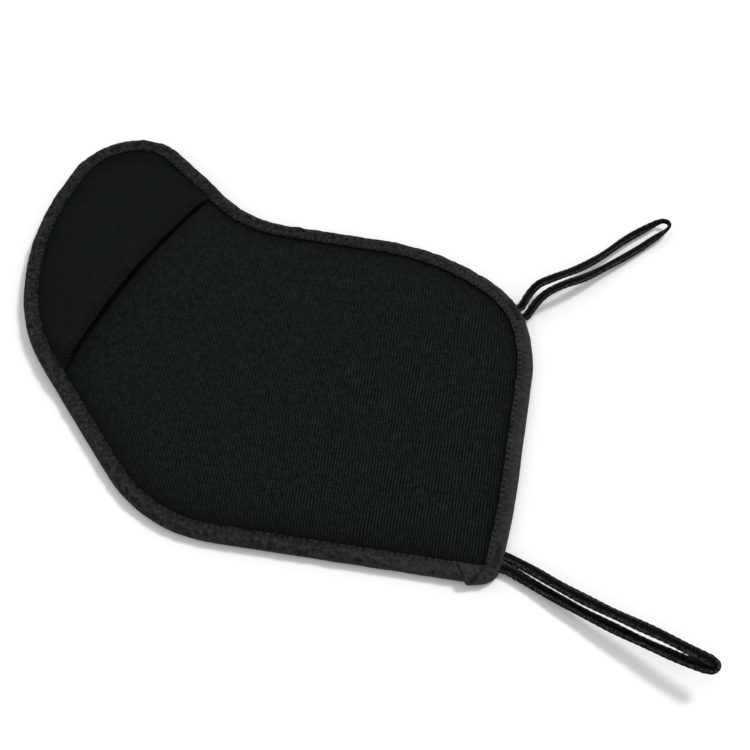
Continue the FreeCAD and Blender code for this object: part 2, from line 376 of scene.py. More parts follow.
def knit(name, dark, light, pitch, course, turn, relief, rib, broken):
    """Weft knit: V-shaped stitches in ribs a pitch apart, with a stitch every course, in millimetres.

    turn is the ribs' direction in degrees. rib is how deep they are, and broken how much fluff breaks up
    their lines, both from 0 to 1.
    """
    shader = Shader(name)
    x, y = shader.x, shader.y
    cosine, sine = math.cos(math.radians(turn)), math.sin(math.radians(turn))
    across = x * cosine + y * sine + shader.noise(0.13, 1.0) * 0.7
    along = y * cosine - x * sine
    ribs = across / pitch
    slope = shader.maths("ABSOLUTE", shader.maths("FRACT", ribs) - 0.5)
    stitches = shader.wave(slope * 0.9 + along / course)
    fluff = shader.speckle(2.3, 4.0)
    patches = shader.speckle(0.62, 3.0)
    height = (shader.wave(ribs) * rib + (1 - rib)) * (stitches * 0.4 + 0.6) + fluff * (0.8 * broken)
    crisp = (x - y) * CRISP_RISE + CRISP_MIDDLE
    crisp = shader.maths("MINIMUM", shader.maths("MAXIMUM", crisp, CRISP_LEAST), 1.0)
    shade = (height - 0.5) * (crisp * 1.5) + 0.42
    # painted shade: darker next to the tape, on walls and undersides, and under the pocket's free edge
    shade = (shade + patches * (0.9 * broken) + fluff * broken) * (1 - shader.number("painted_shade"))
    return shader.finish(shader.between(shade, dark, light), height, relief)


def woven_tape(name, dark, light):
    """Binding tape: a close weave along the tape, mottled, with painted shade in its stitch holes and the
    fold's creases, and painted lighter towards +X.
    """
    shader = Shader(name)
    along, across = shader.number("along"), shader.number("across")
    warp = shader.wave(across / 0.34)
    weft = shader.wave((across * 0.6 + along) / 0.42)
    weave = warp * 0.5 + weft * 0.5
    mottle = shader.speckle(0.9, 4.0)
    fluff = shader.speckle(3.2, 3.0)
    height = weave + fluff * 0.6
    # painted light: the tape is painted lighter towards +X
    painted_light_towards_x = shader.maths("MAXIMUM", shader.x * 0.008 - 0.15, 0.0)
    shade = weave * 0.3 + 0.35 + mottle * 2.6 + fluff * 1.3 + painted_light_towards_x
    # painted shade in the stitch holes and the fold's creases
    shade = shade * (1 - shader.number("recess_and_painted_shade"))
    return shader.finish(shader.between(shade, dark, light), height, 0.08 * MM)


def twisted(name, dark, light, pitch, plies, relief):
    """Plies that wind round a thread; pitch is one turn's length in millimetres."""
    shader = Shader(name)
    turns = shader.number("along") / pitch + shader.number("around")
    height = shader.wave(turns * plies) + shader.speckle(4.0, 3.0) * 0.4
    return shader.finish(shader.between(height, dark, light), height, relief, 0.7)


def braided(name, dark, light):
    """Elastic braid: two sets of yarns that cross, with painted shade in its groove and along its edges."""
    shader = Shader(name)
    around = shader.number("around")
    turns = shader.number("along") / (BRAID_TURN / MM)
    right = shader.wave((turns + around) * BRAID_YARNS)
    left = shader.wave((turns - around) * BRAID_YARNS)
    yarn = shader.maths("MAXIMUM", right, left)
    fluff = shader.speckle(2.6, 4.0)
    height = yarn + fluff * 0.5
    # painted shade: darker in the groove and along the band's two edges
    face = shader.maths("POWER", 1 - shader.wave(around * 4), 1.6)
    shade = (yarn * 0.4 + fluff * 3.4) * (face * 0.96 + 0.04)
    return shader.finish(shader.between(shade, dark, light), height, 0.10 * MM, 0.75, 0.0, 0.04)


def foam(name, dark, light):
    """Open-cell foam."""
    shader = Shader(name)
    cells = shader.add("ShaderNodeTexVoronoi", {"Vector": shader.place, "Scale": 2.6})
    return shader.finish(shader.between(cells, dark, light), cells, 0.1 * MM)


RIB_COLOURS = (0.0002, 0.0008, 0.0010), (0.0118, 0.0158, 0.0168)
RIB_KNIT = knit("rib_knit", *RIB_COLOURS, 0.755, 0.55, 0, relief=0.14 * MM, rib=0.75, broken=1.0)
POCKET_COLOURS = (0.0010, 0.0018, 0.0022), (0.0062, 0.0082, 0.0090)
POCKET_KNIT = knit("pocket_knit", *POCKET_COLOURS, 0.5, 0.42, 31, relief=0.09 * MM, rib=0.5, broken=0.9)
LINING_COLOURS = (0.0030, 0.0034, 0.0040), (0.0110, 0.0120, 0.0130)
LINING = knit("lining", *LINING_COLOURS, 0.6, 0.5, 90, relief=0.08 * MM, rib=0.7, broken=0.6)
BINDING = woven_tape("binding_tape", (0.0030, 0.0030, 0.0038), (0.0300, 0.0300, 0.0325))
TAPE_THREAD = twisted("tape_thread", (0.0040, 0.0040, 0.0045), (0.0300, 0.0300, 0.0320), 0.8, 3, 0.04 * MM)
SOFT_THREAD = twisted("soft_thread", (0.0010, 0.0016, 0.0018), (0.0070, 0.0082, 0.0086), 0.6, 3, 0.02 * MM)
ELASTIC = braided("elastic", (0.0015, 0.0015, 0.0012), (0.0740, 0.0735, 0.0700))
FOAM = foam("foam", (0.008, 0.008, 0.008), (0.03, 0.03, 0.03))


# ---- elastic loops


def outward(side):
    """The middle of a loop's two exits, and unit vectors out of the edge and along it."""
    loop = LOOPS[side]
    angle = math.radians(loop["outward"])
    out = Vector((math.cos(angle), math.sin(angle), 0))
    along = Vector((-math.sin(angle), math.cos(angle), 0))
    return Vector((*loop["edge"], loop["route"][0][2])), out, along


def centreline(name, route):
    """Points along the smooth cord line that has these control points."""
    curve = bpy.data.curves.new(f"{name}_line", "CURVE")
    curve.dimensions = "3D"
    spline = curve.splines.new("NURBS")
    spline.points.add(len(route) - 1)
    for point, place in zip(spline.points, route):
        point.co = (*place, 1)
    spline.order_u = 3
    spline.use_endpoint_u = True
    spline.resolution_u = 30
    carrier = bpy.data.objects.new(f"{name}_line", curve)
    line = bpy.data.meshes.new_from_object(carrier)
    points = np.array([vertex.co for vertex in line.vertices], float)
    bpy.data.objects.remove(carrier)
    return points


def evenly(points, step):
    """Points a step apart along a line."""
    lengths = lengths_along(points)
    places = np.linspace(0, lengths[-1], int(lengths[-1] / step) + 2)
    return np.stack([np.interp(places, lengths, points[:, axis]) for axis in range(3)], axis=1), places


ELASTIC_SIDES = 36
ELASTIC_STEP = 0.2 * MM
SQUARENESS = 2.5  # 2 makes the band's section an ellipse, and more makes it boxier
GROOVE = (0.30, 0.22)  # depth and width of the groove down the middle of each face
SCALLOP = (0.05, 1.6 * MM)  # size and spacing of the bumps along the band's two edges
SWELL = (0.04, 2.3 * MM)


def elastic_mesh(path, seed, width, fold_lean=0.0, tip_squeeze=0.0):
    """A flat braided cord along a path: points, faces, and length and angle.

    At its middle it is turned by fold_lean and narrower by tip_squeeze.
    """
    sides = ELASTIC_SIDES
    path, along = evenly(path, ELASTIC_STEP)
    rng = np.random.default_rng(seed)
    tangents = unit(np.gradient(path, axis=0))
    flat = unit(np.cross((0, 0, 1), tangents))
    upright = np.cross(tangents, flat)
    tip = bell(along - along[-1] / 2, TIP_REACH)
    lean = sum(angle * np.sin(along / reach + rng.uniform(0, 6)) for angle, reach in TWISTS)
    lean = lean + fold_lean * tip
    flat, upright = (
        flat * np.cos(lean)[:, None] + upright * np.sin(lean)[:, None],
        upright * np.cos(lean)[:, None] - flat * np.sin(lean)[:, None],
    )
    turns = np.arange(sides) / sides
    angles = 2 * math.pi * turns
    cosines, sines = np.cos(angles), np.sin(angles)
    oval = (np.abs(cosines) ** SQUARENESS + np.abs(sines) ** SQUARENESS) ** (-1 / SQUARENESS)
    grooves = 1 - GROOVE[0] * bell(cosines, GROOVE[1])
    twist = along[:, None] / BRAID_TURN
    winding = 2 * math.pi * BRAID_YARNS
    yarn = np.maximum(np.cos(winding * (twist + turns)), np.cos(winding * (twist - turns)))
    swell = 1 + SWELL[0] * np.sin(along / SWELL[1] + rng.uniform(0, 6)) - tip_squeeze * tip
    bumps = np.cos(2 * math.pi * along[:, None] / SCALLOP[1] + math.pi * (cosines > 0))
    scallop = SCALLOP[0] * bumps * np.abs(cosines) ** 6
    radius = (oval * grooves)[None] * swell[:, None] + 0.03 * yarn + scallop
    spread = radius * cosines * width / 2
    rise = radius * sines * width * FLATNESS / 2
    points = path[:, None] + spread[:, :, None] * flat[:, None] + rise[:, :, None] * upright[:, None]
    faces = ring_faces(len(path), sides)
    faces.append(tuple(reversed(range(sides))))
    faces.append(tuple((len(path) - 1) * sides + j for j in range(sides)))
    length = np.repeat(along[:, None], sides, axis=1)
    angle = np.broadcast_to(turns, length.shape)
    made = points.reshape(-1, 3), faces, {"along": length.ravel() / MM, "around": angle.ravel()}
    return made, path


def add_loop(side, seed):
    """An elastic loop that leaves the edge, turns back at its tip and goes in again beside its start."""
    loop = LOOPS[side]
    middle, out, along = outward(side)
    exits = [middle + along * loop["half_gap"], middle - along * loop["half_gap"]]
    inside = [np.array([exit_point - out * TAPE]) for exit_point in exits]
    path = np.concatenate([inside[0], centreline(side, loop["route"]), inside[1]])
    made, path = elastic_mesh(path, seed, loop["width"], loop["fold_lean"], loop["tip_squeeze"])
    cord = new_piece(f"{side}_cord", made, ELASTIC)
    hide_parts(f"{side}_loop")
    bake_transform(cord)
    ends = []
    for number, exit_point in enumerate(exits):
        run = np.array([exit_point - out * TAPE, exit_point - out * SEWN_IN])
        ends.append(elastic_mesh(run, seed + 1 + number, SEWN_WIDTH)[0])
    add_panel_piece(f"{side}_cord_ends", joined(ends), ELASTIC, f"{side}_loop_ends")


add_camera()
add_loop("upper", 11)
add_loop("lower", 21)


# ---- the outline


def rim_of(node):
    """The outline of a CAD slab's top face, anticlockwise."""
    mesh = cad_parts[node].data
    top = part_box(node)[1].z
    uses = {}
    for face in mesh.polygons:
        if face.normal.z > 0.9 and abs(face.center.z - top) < 0.01 * MM:
            corners = [tuple(round(c, 6) for c in mesh.vertices[i].co[:2]) for i in face.vertices]
            for start, end in zip(corners, corners[1:] + corners[:1]):
                uses.setdefault(frozenset((start, end)), []).append((start, end))
    following = dict(pairs[0] for pairs in uses.values() if len(pairs) == 1)
    first = min(following)
    rim, point = [first], following[first]
    while point != first:
        rim.append(point)
        point = following[point]
    return np.array(rim)


def closed_lengths(points):
    """The distance round a closed line at each of its points and back at the first."""
    return np.concatenate([[0], np.cumsum(np.linalg.norm(np.roll(points, -1, axis=0) - points, axis=1))])


class Outline:
    """The panel's outer edge, a smooth closed line. turn is the place along it, from 0 to 1."""

    SAMPLES = 1600
    SOFTEN = 0.9 * MM

    def __init__(self, node, out):
        corners = rim_of(node)
        lengths = closed_lengths(corners)
        places = np.arange(self.SAMPLES) / self.SAMPLES * lengths[-1]
        closed = np.concatenate([corners, corners[:1]])
        points = np.stack([np.interp(places, lengths, closed[:, axis]) for axis in (0, 1)], axis=1)
        waves = np.fft.fftfreq(self.SAMPLES, lengths[-1] / self.SAMPLES)
        soft = np.exp(-2 * (math.pi * waves * self.SOFTEN) ** 2)
        points = np.real(np.fft.ifft(np.fft.fft(points, axis=0) * soft[:, None], axis=0))
        run = unit(np.roll(points, -1, axis=0) - np.roll(points, 1, axis=0))
        self.inward = np.stack([-run[:, 1], run[:, 0]], axis=1)
        self.points = points - out * self.inward
        self.length = closed_lengths(self.points)[-1]

    def at(self, turn, depth):
        """Points at places along the edge and distances inwards."""
        index = np.mod(turn, 1) * self.SAMPLES
        low = np.floor(index).astype(int) % self.SAMPLES
        share = (index - np.floor(index))[..., None]
        high = (low + 1) % self.SAMPLES
        point = self.points[low] * (1 - share) + self.points[high] * share
        inward = self.inward[low] * (1 - share) + self.inward[high] * share
        return point + np.asarray(depth)[..., None] * inward

    def place(self, turn, depth, height):
        """The same points, at heights."""
        return np.concatenate([self.at(turn, depth), np.asarray(height)[..., None]], axis=-1)

    def nearest(self, x, y):
        """The distance inwards and the place along the edge of points inside it."""
        depth, turn = np.empty(len(x)), np.empty(len(x))
        for i, point in enumerate(np.stack([x, y], axis=1)):
            away = ((self.points - point) ** 2).sum(1)
            k = int(away.argmin())
            depth[i], turn[i] = math.sqrt(away[k]), k / self.SAMPLES
        return depth, turn

    def turn_near(self, x, y):
        """The place along the edge nearest to a point."""
        return float(self.nearest(np.array([x]), np.array([y]))[1][0])


edge = Outline("front_fabric", TAPE)


class PocketEdge:
    """The pocket's free edge: an arc between two points of the panel's rim, bowed towards the lobe."""

    OVERRUN = 4.5 * MM  # how far past its two ends the arc is carried on

    def __init__(self):
        rim = rim_of("pocket_cover")
        away = np.array([np.sqrt(((edge.points - point) ** 2).sum(1).min()) for point in rim])
        free = rim[away > TAPE * 1.5]
        free = free[np.argsort(free[:, 1])]
        start, middle, end = free[0], free[len(free) // 2], free[-1]
        rows = 2 * np.array([middle - start, end - start])
        sums = np.array([middle @ middle - start @ start, end @ end - start @ start])
        self.centre = np.linalg.solve(rows, sums)
        self.radius = float(np.linalg.norm(start - self.centre))
        angles = [math.atan2(*(point - self.centre)[::-1]) % (2 * math.pi) for point in (start, end)]
        reach = self.OVERRUN / self.radius
        self.first, self.last = max(angles) + reach, min(angles) - reach

    def into_lobe(self, x, y):
        """The distance from the free edge, towards the tip of the lobe."""
        return np.hypot(x - self.centre[0], y - self.centre[1]) - self.radius

    def share(self, x, y):
        """0 at the lower end of the free edge and 1 at its upper end."""
        angle = np.mod(np.arctan2(y - self.centre[1], x - self.centre[0]), 2 * math.pi)
        return (angle - self.first) / (self.last - self.first)

    def at(self, share, into_lobe):
        """Points by their share of the free edge and distance into the lobe."""
        angle = self.first + share * (self.last - self.first)
        spokes = np.stack([np.cos(angle), np.sin(angle)], axis=-1)
        return self.centre + (self.radius + np.asarray(into_lobe))[..., None] * spokes


pocket = PocketEdge()
FREE_EDGE_LENGTH = abs(pocket.last - pocket.first) * pocket.radius
LOBE_STEP = 1.5 * MM  # the tape climbs onto the pocket cover over twice this
lobe_of_edge = smoothstep(-LOBE_STEP, LOBE_STEP, pocket.into_lobe(*edge.points.T))


def over_lobe(turn):
    """1 where the edge runs round the pocket, 0 elsewhere."""
    places = np.arange(edge.SAMPLES) / edge.SAMPLES
    return np.interp(np.mod(turn, 1), places, lobe_of_edge, period=1)


# ---- padded sheets


def inside_polygon(points, polygon):
    """Which points lie inside a closed polygon."""
    x, y = points[:, 0], points[:, 1]
    inside = np.zeros(len(points), bool)
    for (x0, y0), (x1, y1) in zip(polygon, np.roll(polygon, -1, axis=0)):
        crosses = (y0 > y) != (y1 > y)
        if crosses.any():
            reach = x0 + (y[crosses] - y0) * (x1 - x0) / (y1 - y0)
            inside[np.flatnonzero(crosses)[x[crosses] < reach]] ^= True
    return inside


GRID_CLEARANCE = 0.7  # the grid keeps this share of its spacing away from the outline and the line


def filled(boundary, spacing, line=None):
    """Triangles that fill a closed outline: its points first, those of a line, then a triangular grid."""
    low, high = boundary.min(0), boundary.max(0)
    rows = []
    for i, y in enumerate(np.arange(low[1], high[1], spacing * math.sqrt(3) / 2)):
        x = np.arange(low[0] + i % 2 * spacing / 2, high[0], spacing)
        rows.append(np.column_stack([x, np.full_like(x, y)]))
    grid = np.concatenate(rows)
    grid = grid[inside_polygon(grid, boundary)]
    fixed = boundary if line is None else np.concatenate([boundary, line[inside_polygon(line, boundary)]])
    away = np.array([((fixed - point) ** 2).sum(1).min() for point in grid])
    points = np.concatenate([fixed, grid[away > (GRID_CLEARANCE * spacing) ** 2]])
    vertices = [Vector(point) for point in points]
    made = delaunay_2d_cdt(vertices, [], [list(range(len(boundary)))], 1, 1e-9)
    return np.array([tuple(v) for v in made[0]]), [tuple(f) for f in made[2]]


SIM_SCALE = 10.0
SIM_FRAMES = 20
PRESSURE = 4


def inflated(points, faces, sewn, spare, stiffness):
    """How high pressure lifts a sewn-down sheet cut larger than its seam, found by cloth simulation."""
    mesh = bpy.data.meshes.new("sheet_under_pressure")
    mesh.from_pydata([(x * SIM_SCALE, y * SIM_SCALE, 0) for x, y in points], [], faces)
    sheet = add_object("sheet_under_pressure", mesh)
    group = sheet.vertex_groups.new(name="sewn")
    group.add([int(i) for i in np.flatnonzero(sewn)], 1.0, "REPLACE")
    cloth = sheet.modifiers.new("cloth", "CLOTH")
    cloth.settings.vertex_group_mass = "sewn"
    cloth.settings.effector_weights.gravity = 0
    cloth.settings.use_pressure = True
    cloth.settings.uniform_pressure_force = PRESSURE
    cloth.settings.shrink_min = -spare
    cloth.settings.bending_stiffness = stiffness
    cloth.point_cache.frame_start, cloth.point_cache.frame_end = 1, SIM_FRAMES
    for number in range(1, SIM_FRAMES + 1):
        scene.frame_set(number)
    shaped = sheet.evaluated_get(bpy.context.evaluated_depsgraph_get()).data
    lift = np.array([vertex.co.z for vertex in shaped.vertices]) / SIM_SCALE
    scene.frame_set(1)
    bpy.data.objects.remove(sheet)
    bpy.data.meshes.remove(mesh)
    return np.abs(lift)


def thick_sheet(points, faces, top, bottom, boundary):
    """A closed sheet between two heights over triangles whose first points are its boundary."""
    count = len(points)
    vertices = np.concatenate([np.column_stack([points, top]), np.column_stack([points, bottom])])
    closed = [tuple(face) for face in faces]
    closed += [tuple(count + i for i in reversed(face)) for face in faces]
    closed += [(i, count + i, count + (i + 1) % boundary, (i + 1) % boundary) for i in range(boundary)]
    return vertices, closed


# painted shade on the fabrics next to the tape: how dark it is and how far it reaches
SEAM_SHADE = 0.9
SEAM_SHADE_WIDTH = 1.7 * MM


def add_sheet(name, node, material, outline, top, bottom, shade=0.0):
    """A closed fabric sheet that stands for a CAD slab, with painted shade along the tape, on its walls and
    underside, and where shade is given.

    outline is its points, its faces, and how many of the points are its boundary.
    """
    vertices, closed = thick_sheet(*outline[:2], top, bottom, outline[2])
    depth, turn = edge.nearest(*outline[0].T)
    # painted shade along the tape, reaching further along the lower side
    lower_side = np.maximum(edge.inward[(turn * edge.SAMPLES).astype(int)][:, 1], 0)
    painted_shade = SEAM_SHADE * fading(depth - TAPE_WIDTH, SEAM_SHADE_WIDTH * (1 + lower_side))
    painted_shade = np.maximum(painted_shade, shade)
    # painted shade: full on the underside, and darkening down the walls
    made = vertices, closed, {"painted_shade": np.concatenate([painted_shade, np.ones_like(painted_shade)])}
    return add_panel_piece(name, made, material, node)


def heights_near(places, points, heights, count, blur):
    """A sheet's height at places, from the nearest few of its points."""
    found = np.empty(len(places))
    for i, place in enumerate(places):
        away = ((points - place) ** 2).sum(1)
        near = np.argpartition(away, count)[:count]
        weight = 1 / (away[near] + blur**2)
        found[i] = (heights[near] * weight).sum() / weight.sum()
    return found


PANEL_SPACING = 1.5 * MM
SKIN_EDGE = 1.2 * MM  # the fabrics end this far inside the folded tape
SEAM_LEVEL = 2.55 * MM  # the facing's top where the seam pulls the panel together
PAD_RISE = 1.05 * MM
PAD_GAIN = 0.22  # how much of the simulated lift the facing and the lining take
LINING_GAIN = 0.2
LINING_RISE = 0.3 * MM
LINING_LEVEL = 0.42 * MM
SKIN = 0.5 * MM
FOAM_GAP = 0.02 * MM
PUCKER_REACH = 2.6 * MM
PUCKERS = ((0.10 * MM, 95, 5), (0.12 * MM, 38, 6))  # each wave's size, number round the edge and seed
HILL = 0.12 * MM
HILL_LENGTH = 34 * MM
UNDER_EDGE = (-1.1 * MM, -0.8 * MM, -0.45 * MM, -0.1 * MM, 0.6 * MM)  # lines of points along the free edge
UNDER_DIP = 0.7 * MM
UNDER_SHADE = 0.35 * MM

panel_turns = np.linspace(0, 1, int(edge.length / (1.1 * MM)), endpoint=False)
panel_rim = edge.at(panel_turns, SKIN_EDGE)
under_shares = np.linspace(0, 1, int(FREE_EDGE_LENGTH / (1.0 * MM)))
under_lines = [pocket.at(under_shares, inner) for inner in UNDER_EDGE]
panel_points, panel_faces = filled(panel_rim, PANEL_SPACING, np.concatenate(under_lines))
panel_x, panel_y = panel_points.T
panel_depth, panel_turn = edge.nearest(panel_x, panel_y)
is_sewn = panel_depth < SEAM_FAR
panel_lift = inflated(panel_points, panel_faces, is_sewn, 0.025, 0.3)
lining_lift = inflated(panel_points, panel_faces, is_sewn, 0.012, 1.0)


def padding(depth, turn, x, y, lift):
    """The facing's height over its seam level: pressed at the seam, full beyond it, with soft puckers."""
    full = np.tanh(lift * PAD_GAIN / PAD_RISE) * PAD_RISE
    fade = fading(depth - TAPE_WIDTH, PUCKER_REACH)
    fade = fade * smoothstep(SEAM_FAR - 0.4 * MM, TAPE_WIDTH + 1 * MM, depth)
    pucker = unevenness(turn, PUCKERS)
    hills = field(x, y, HILL_LENGTH, 7) * HILL * smoothstep(TAPE_WIDTH, 16 * MM, depth)
    dip = UNDER_DIP * smoothstep(UNDER_EDGE[0], UNDER_EDGE[3], pocket.into_lobe(x, y))
    return full + fade * pucker + hills - dip * smoothstep(TAPE_WIDTH, 8 * MM, depth)


def shadow_painted_under_cover(x, y):
    """Painted shadow on the facing where it goes in under the pocket cover, deeper towards its lower end.
    """
    reach = (0.15 + 0.35 * smoothstep(0.95, 0.4, pocket.share(x, y))) * MM
    return smoothstep(-UNDER_SHADE, 0.0, pocket.into_lobe(x, y) + reach)


front_top = SEAM_LEVEL + padding(panel_depth, panel_turn, panel_x, panel_y, panel_lift)
back_low = LINING_LEVEL - np.tanh(lining_lift * LINING_GAIN / LINING_RISE) * LINING_RISE
panel = panel_points, panel_faces, len(panel_rim)
# painted shadow on the facing under the pocket's free edge
painted_cover_shadow = shadow_painted_under_cover(panel_x, panel_y)
front_low = front_top - SKIN
front = add_sheet("rib_facing", "front_fabric", RIB_KNIT, panel, front_top, front_low, painted_cover_shadow)
back = add_sheet("lining_sheet", "back_fabric", LINING, panel, back_low + SKIN, back_low)
foam_top, foam_low = front_low - FOAM_GAP, back_low + SKIN + FOAM_GAP
pad_mesh = thick_sheet(panel_points, panel_faces, foam_top, foam_low, len(panel_rim))
pad = add_panel_piece("foam_pad", (*pad_mesh, {}), FOAM, "foam_core")


# ---- pocket cover

COVER = 0.75 * MM
MOUTH = 2.3 * MM  # how far the free edge stands off where the pocket is most open
BULGE = 0.42


MOUTH_OPENS = (0.02, 0.16)  # over which shares of the free edge
MOUTH_NARROWS = (0.3, 0.95)
MOUTH_NARROWING = 0.68
MOUTH_RIPPLES = ((0.14, 5.3, 1.0), (0.08, 11, 2.2))  # each one's size, waves along the edge and start
STAND_REACH = 9 * MM  # how far into the lobe the cover stands off
PUFF = 0.45 * MM
HEM = (0.12 * MM, 2.7 * MM, 0.5 * MM)  # the hem's groove: depth, distance from the free edge and width


def mouth(share):
    """How far the free edge stands off the facing along its length: widest towards its lower end."""
    swell = smoothstep(*MOUTH_OPENS, share) * (1 - MOUTH_NARROWING * smoothstep(*MOUTH_NARROWS, share))
    ripple = sum(size * np.cos(2 * math.pi * share * waves + start) for size, waves, start in MOUTH_RIPPLES)
    return swell * (1 + ripple) * MOUTH


def free_edge(share, into_lobe):
    """Points by their share of the cover's free edge, which bulges over the facing where it stands off."""
    return pocket.at(share, into_lobe - BULGE * mouth(share))


COVER_INSET = 1.4 * MM
inset = edge.at(panel_turns, COVER_INSET)
lobe_turns = panel_turns[pocket.into_lobe(*inset.T) > 0.4 * MM]
breaks = np.flatnonzero(np.diff(lobe_turns) > 2 / len(panel_turns))
if len(breaks):
    lobe_turns = np.concatenate([lobe_turns[breaks[0] + 1 :], lobe_turns[: breaks[0] + 1] + 1])
lobe_side = edge.at(lobe_turns, COVER_INSET)
ends = pocket.share(*lobe_side[[0, -1]].T)
free_shares = np.linspace(ends[1], ends[0], int(FREE_EDGE_LENGTH / (0.8 * MM)))
free_side = free_edge(free_shares, 0.0)
cover_rim = np.concatenate([lobe_side, free_side])
cover_points, cover_faces = filled(cover_rim, 1.2 * MM)
cover_x, cover_y = cover_points.T
cover_depth, _ = edge.nearest(cover_x, cover_y)
cover_lift = inflated(cover_points, cover_faces, cover_depth < SEAM_FAR, 0.02, 0.3)


def cover_bottom(x, y, depth, lift):
    """The underside of the pocket cover."""
    inner = pocket.into_lobe(x, y)
    ground = heights_near(np.column_stack([x, y]), panel_points, front_top, 6, 0.2 * MM)
    tucked = smoothstep(TAPE_WIDTH - 0.5 * MM, TAPE_WIDTH + 4 * MM, depth)
    stand = (mouth(pocket.share(x, y)) + UNDER_DIP) * fading(inner, STAND_REACH) * tucked
    puff = np.tanh(lift * 0.2 / (0.7 * MM)) * PUFF
    hem = HEM[0] * bell(inner - HEM[1], HEM[2]) * tucked
    return ground + 0.08 * MM + stand + puff - hem


cover_low = cover_bottom(cover_x, cover_y, cover_depth, cover_lift)
cover_top = cover_low + COVER
lobe_panel = cover_points, cover_faces, len(cover_rim)
cover = add_sheet("pocket_panel", "pocket_cover", POCKET_KNIT, lobe_panel, cover_top, cover_low)


def cover_top_at(points):
    """The pocket cover's top height at points."""
    return heights_near(points, cover_points, cover_top, 5, 0.15 * MM)


# ---- overlocked free edge

OVERLOCK = 2.5 * MM
OVERLOCK_STITCH = 0.8 * MM
LOOPER_THREAD = 0.15 * MM
NEEDLE_THREAD = 0.12 * MM


def overlock_threads():
    """Overlock along the pocket's free edge: looper thread over the hem and round it, and a needle line."""
    low, high = min(free_shares), max(free_shares)
    seen = TAPE_WIDTH / FREE_EDGE_LENGTH
    count = int((high - low - 1.4 * seen) * FREE_EDGE_LENGTH / OVERLOCK_STITCH)
    starts = np.linspace(low + 0.7 * seen, high - 0.7 * seen, count)
    step = (starts[1] - starts[0]) / 2
    over, needle = [], []
    reach = np.array([1.0, 0.94, 0.75, 0.5, 0.25, 0.06, -0.03, 0.0, 0.06, 0.14]) * OVERLOCK
    rise = np.array([-0.14, -0.03, 0.0, 0.01, 0.0, -0.02, -0.14, -0.30, -0.40, -0.42]) * MM
    slant = np.array([0.0, 0.05, 0.25, 0.5, 0.75, 0.95, 1.0, 1.05, 1.1, 1.3])
    needle_rise = np.array([-0.10, 0.06, 0.10, 0.06, -0.10]) * MM
    rng = np.random.default_rng(71)
    for start in starts:
        for way in (1, -1):
            shares = start + way * step * (slant - 0.5) * rng.uniform(0.8, 1.5)
            shares = shares + step * rng.uniform(-0.3, 0.3)
            places = free_edge(shares, reach * np.where(reach > 0, rng.uniform(0.86, 1.06), 1))
            over.append(np.column_stack([places, cover_top_at(places) + rise + max(way, 0) * 0.03 * MM]))
        shares = start + step * np.array([-0.95, -0.75, 0, 0.75, 0.95])
        places = free_edge(shares, OVERLOCK * rng.uniform(0.93, 1.0))
        needle.append(np.column_stack([places, cover_top_at(places) + needle_rise]))
    return joined([threads(over, LOOPER_THREAD), threads(needle, NEEDLE_THREAD)])


add_panel_piece("pocket_overlock", overlock_threads(), SOFT_THREAD, "pocket_edge_stitching")


# ---- binding

RINGS_PER_STITCH = 5
STITCHES = int(round(edge.length / STITCH))
RINGS = STITCHES * RINGS_PER_STITCH
LOBE_RISE = 0.75 * MM

# The tape's section, from its inner edge on top, round the outer edge, to its inner edge underneath:
# distance inwards and height of its outer face, in millimetres.
TAPE_OUTSIDE = [
    (3.84, 2.86), (3.92, 3.10), (3.82, 3.30), (3.58, 3.34), (3.25, 3.20), (2.80, 3.12),
    (2.40, 3.16), (2.00, 3.36), (1.65, 3.50), (1.30, 3.52), (0.95, 3.38), (0.50, 3.05),
    (0.18, 2.55), (0.02, 1.95), (0.02, 1.35), (0.20, 0.75), (0.55, 0.30), (1.05, 0.06),
    (1.70, 0.00), (2.40, 0.10), (3.20, 0.25), (3.90, 0.08), (4.30, 0.12), (4.34, 0.28),
]
TAPE_INSIDE = [
    (4.20, 0.46), (3.20, 0.50), (1.80, 0.38), (1.10, 0.46), (0.62, 0.85), (0.44, 1.50),
    (0.46, 2.10), (0.75, 2.66), (1.30, 3.00), (1.80, 3.05), (2.40, 2.78), (3.10, 2.66),
    (3.72, 2.74),
]


CORNER = (0.0645, -0.0562)
CORNER_TUCK = 0.45 * MM  # how far the folded end pulls the lower right corner in
CORNER_REACH = 3.2 * MM
corner_turn = edge.turn_near(*CORNER)
# The tape's unevenness: each wave's size, number round the edge and seed.
TOP_WAVES = ((0.16 * MM, 60, 31), (0.08 * MM, 170, 32))
INNER_WAVES = ((0.07 * MM, 130, 33),)
OUTER_WAVES = ((0.04 * MM, 30, 34), (0.02 * MM, 150, 35))
WIDTH_WAVES = ((0.13 * MM, 75, 36),)
HOLE_LENGTH, HOLE_WIDTH = 0.36 * MM, 0.42 * MM
HOLE_DEPTH = 0.36 * MM
GATHER = (0.15 * MM, 3.7 * MM, 0.35 * MM)  # the bumps between stitches: height, distance inwards and width


def from_whole(value):
    """How far a number is from the nearest whole one, either way."""
    return np.mod(value + 0.5, 1) - 0.5


